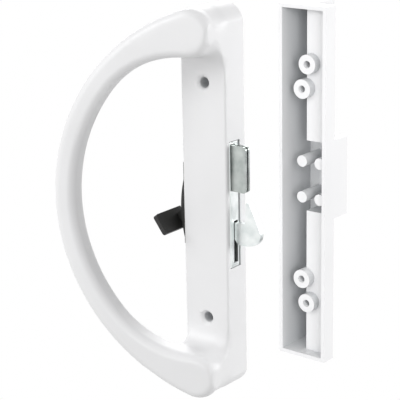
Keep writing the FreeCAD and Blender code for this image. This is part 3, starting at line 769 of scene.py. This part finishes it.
@dataclass(frozen=True)
class Softbox:
    """One soft square studio light, aimed at the middle of the set."""

    name: str
    azimuth: float
    elevation: float
    watts: float
    half: Optional[Half] = None
    side: float = 0.6
    distance: float = 1.2

    def build(self, target: Vector) -> None:
        """Hang the light.

        Args:
            target: Point that it faces.
        """
        light = bpy.data.lights.new(self.name, "AREA")
        light.shape = "SQUARE"
        light.size = self.side
        light.energy = self.watts
        obj = bpy.data.objects.new(self.name, light)
        bpy.context.scene.collection.objects.link(obj)
        turn, rise = math.radians(self.azimuth), math.radians(self.elevation)
        level = Vector((math.sin(turn), -math.cos(turn), 0.0)) * math.cos(rise)
        away = level + Vector((0.0, 0.0, math.sin(rise)))
        obj.location = target + away * self.distance
        obj.rotation_euler = away.to_track_quat("Z", "Y").to_euler()
        if self.half is not None:
            self.keep_to(obj, self.half)

    def keep_to(self, obj: bpy.types.Object, half: Half) -> None:
        """Let the light fall on one half only, with no shadow of the other.

        Args:
            obj: The light.
            half: The half that it lights.
        """
        group = bpy.data.collections.new("%s_%s" % (self.name, half.value))
        for piece in half.pieces():
            group.objects.link(piece)
        obj.light_linking.receiver_collection = group
        obj.light_linking.blocker_collection = group


@dataclass
class Studio:
    """White surroundings, soft light and the camera of the photograph."""

    lights: tuple[Softbox, ...]
    ambient: float
    camera_place: Vector
    yaw: float
    pitch: float
    roll: float
    lens: float
    clip_start: float = 0.05
    floor_gap: float = 0.25
    floor_size: float = 6.0
    floor_tones: tuple[str, str] = ("#f4f4f3", "#efefee")
    floor_patch_mm: float = 200.0
    floor_roughness: float = 0.8

    def build(self) -> None:
        """Set up floor, world, lights and camera."""
        low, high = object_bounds()
        middle = (Vector(low) + Vector(high)) / 2
        self.floor(Vector(low).z - self.floor_gap, middle)
        self.world()
        for light in self.lights:
            light.build(middle)
        self.camera()
        bpy.context.scene.view_settings.view_transform = "Standard"

    @staticmethod
    def shown(tree: bpy.types.NodeTree) -> bpy.types.NodeSocket:
        """Pick out the rays that show the surroundings, straight on or in metal and glass.

        Args:
            tree: Tree of the floor or the world.

        Returns:
            One for those rays, nought for the rays that only light the set.
        """
        path = add_node(tree, "ShaderNodeLightPath").outputs
        mirrored = add_node(tree, "ShaderNodeMath", {
            0: path["Is Glossy Ray"], 1: path["Is Transmission Ray"],
        }, operation="MAXIMUM")
        shown = add_node(tree, "ShaderNodeMath", {
            0: path["Is Camera Ray"], 1: mirrored.outputs[0],
        }, operation="MAXIMUM")
        return shown.outputs[0]

    def floor(self, level: float, middle: Vector) -> None:
        """Lay the pale floor, pure white where it is seen.

        Args:
            level: Height of the floor.
            middle: Point that it lies under.
        """
        half = self.floor_size / 2
        signs = ((-1, -1), (1, -1), (1, 1), (-1, 1))
        corners = [(middle.x + sx * half, middle.y + sy * half, level) for sx, sy in signs]
        mesh = bpy.data.meshes.new("floor")
        mesh.from_pydata(corners, [], [(0, 1, 2, 3)])
        mesh.materials.append(self.floor_paper())
        obj = bpy.data.objects.new("floor", mesh)
        bpy.context.scene.collection.objects.link(obj)
        obj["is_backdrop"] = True

    def floor_paper(self) -> bpy.types.Material:
        """Make the matt white paper of the floor.

        Returns:
            The node material.
        """
        paper = bpy.data.materials.new("white_floor_paper")
        paper.use_nodes = True
        tree = paper.node_tree
        tree.nodes.clear()
        place = add_node(tree, "ShaderNodeTexCoord").outputs["Object"]
        patch = add_node(tree, "ShaderNodeTexNoise", {
            "Vector": place, "Scale": 1 / (self.floor_patch_mm * MM), "Detail": 2.0,
        })
        share = add_node(tree, "ShaderNodeMapRange", {"Value": patch.outputs["Fac"], **NOISE_RANGE})
        first, second = self.floor_tones
        pale = add_node(tree, "ShaderNodeMix", {
            SHARE: share.outputs["Result"], FIRST: linear(first), SECOND: linear(second),
        }, data_type="RGBA")
        matt = add_node(tree, "ShaderNodeBsdfPrincipled", {
            "Base Color": pale.outputs[MIXED], "Roughness": self.floor_roughness,
        })
        glow = add_node(tree, "ShaderNodeEmission", {"Color": linear(WHITE), "Strength": 1.0})
        both = add_node(tree, "ShaderNodeMixShader", {
            0: self.shown(tree), 1: matt.outputs["BSDF"], 2: glow.outputs["Emission"],
        })
        add_node(tree, "ShaderNodeOutputMaterial", {"Surface": both.outputs["Shader"]})
        return paper

    def world(self) -> None:
        """Surround the set with white, with a softer level for light than for the background."""
        world = bpy.data.worlds.new("studio_white")
        bpy.context.scene.world = world
        world.use_nodes = True
        tree = world.node_tree
        tree.nodes.clear()
        level = add_node(tree, "ShaderNodeMapRange", {
            "Value": self.shown(tree), "To Min": self.ambient, "To Max": 1.0,
        })
        back = add_node(tree, "ShaderNodeBackground", {
            "Color": linear(WHITE), "Strength": level.outputs["Result"],
        })
        add_node(tree, "ShaderNodeOutputWorld", {"Surface": back.outputs["Background"]})

    def camera(self) -> None:
        """Place the camera as the photograph was taken."""
        yaw, pitch, roll = (math.radians(a) for a in (self.yaw, self.pitch, self.roll))
        ahead = Vector((-math.sin(yaw) * math.cos(pitch), math.cos(yaw) * math.cos(pitch), -math.sin(pitch)))
        level = Vector((math.cos(yaw), math.sin(yaw), 0.0))
        rise = level.cross(ahead)
        right = level * math.cos(roll) + rise * math.sin(roll)
        up = rise * math.cos(roll) - level * math.sin(roll)
        data = bpy.data.cameras.new("photo_camera")
        data.lens = self.lens
        data.clip_start = self.clip_start
        obj = bpy.data.objects.new("photo_camera", data)
        bpy.context.scene.collection.objects.link(obj)
        turn = Matrix((right, up, -ahead)).transposed().to_4x4()
        obj.matrix_world = Matrix.Translation(self.camera_place) @ turn
        bpy.context.scene.camera = obj


PAINT = CastingPaint()
PLATE = ZincPlate()
# A darker copy of the zinc plate for the guide nose: painted shade.
SHADED_NOSE_PLATE = ZincPlate(name="zinc_plate_painted_shade", bright="#c3c8c5", dull="#a9b0ad")
STRIP = SpringStrip()
LEVER_BLACK = SatinBlack(
    name="black_paint_on_lever",
    slot=Slot.BLACK_PAINT,
    tone="#121211",
    worn="#181816",
    roughness=(0.42, 0.55),
    grain_mm=0.5,
    grain_depth_mm=0.004,
)
MOULDED_BLACK = SatinBlack(
    name="black_moulding",
    slot=Slot.BLACK_PLASTIC,
    tone="#1d1d1c",
    worn="#272725",
    roughness=(0.5, 0.62),
    grain_mm=0.35,
    grain_depth_mm=0.006,
)

STUDIO = Studio(
    lights=(
        Softbox("front_box", azimuth=4.0, elevation=5.0, watts=4.2, half=Half.HANDLE),
        Softbox("left_front_box", azimuth=-36.0, elevation=30.0, watts=6.4, half=Half.HANDLE),
        Softbox("right_box", azimuth=62.0, elevation=15.0, watts=0.4, half=Half.HANDLE),
        Softbox("right_back_box", azimuth=124.0, elevation=10.0, watts=9.5, half=Half.HANDLE),
        Softbox("pull_front_box", azimuth=8.0, elevation=20.0, watts=6.2, half=Half.PULL),
        Softbox("pull_right_box", azimuth=48.0, elevation=15.0, watts=7.8, half=Half.PULL),
        Softbox("pull_back_box", azimuth=125.0, elevation=10.0, watts=5.0, half=Half.PULL),
        Softbox("far_back_box", azimuth=-145.0, elevation=25.0, watts=5.0, side=0.8),
    ),
    ambient=0.55,
    camera_place=Vector((434.63, -559.88, 213.45)) * MM,
    yaw=38.8,
    pitch=16.9,
    roll=-1.14,
    lens=128.25,
)


def main() -> None:
    """Dress the set, light it and set the camera."""
    logging.basicConfig(level=logging.INFO, format="%(message)s")
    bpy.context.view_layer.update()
    assemblies = (
        InsideHandle(PAINT, MOULDED_BLACK),
        OutsidePull(PAINT),
        HookLatch(PLATE, SHADED_NOSE_PLATE, STRIP, LEVER_BLACK),
    )
    for assembly in assemblies:
        assembly.build()
    STUDIO.build()


if __name__ == "__main__":
    main()
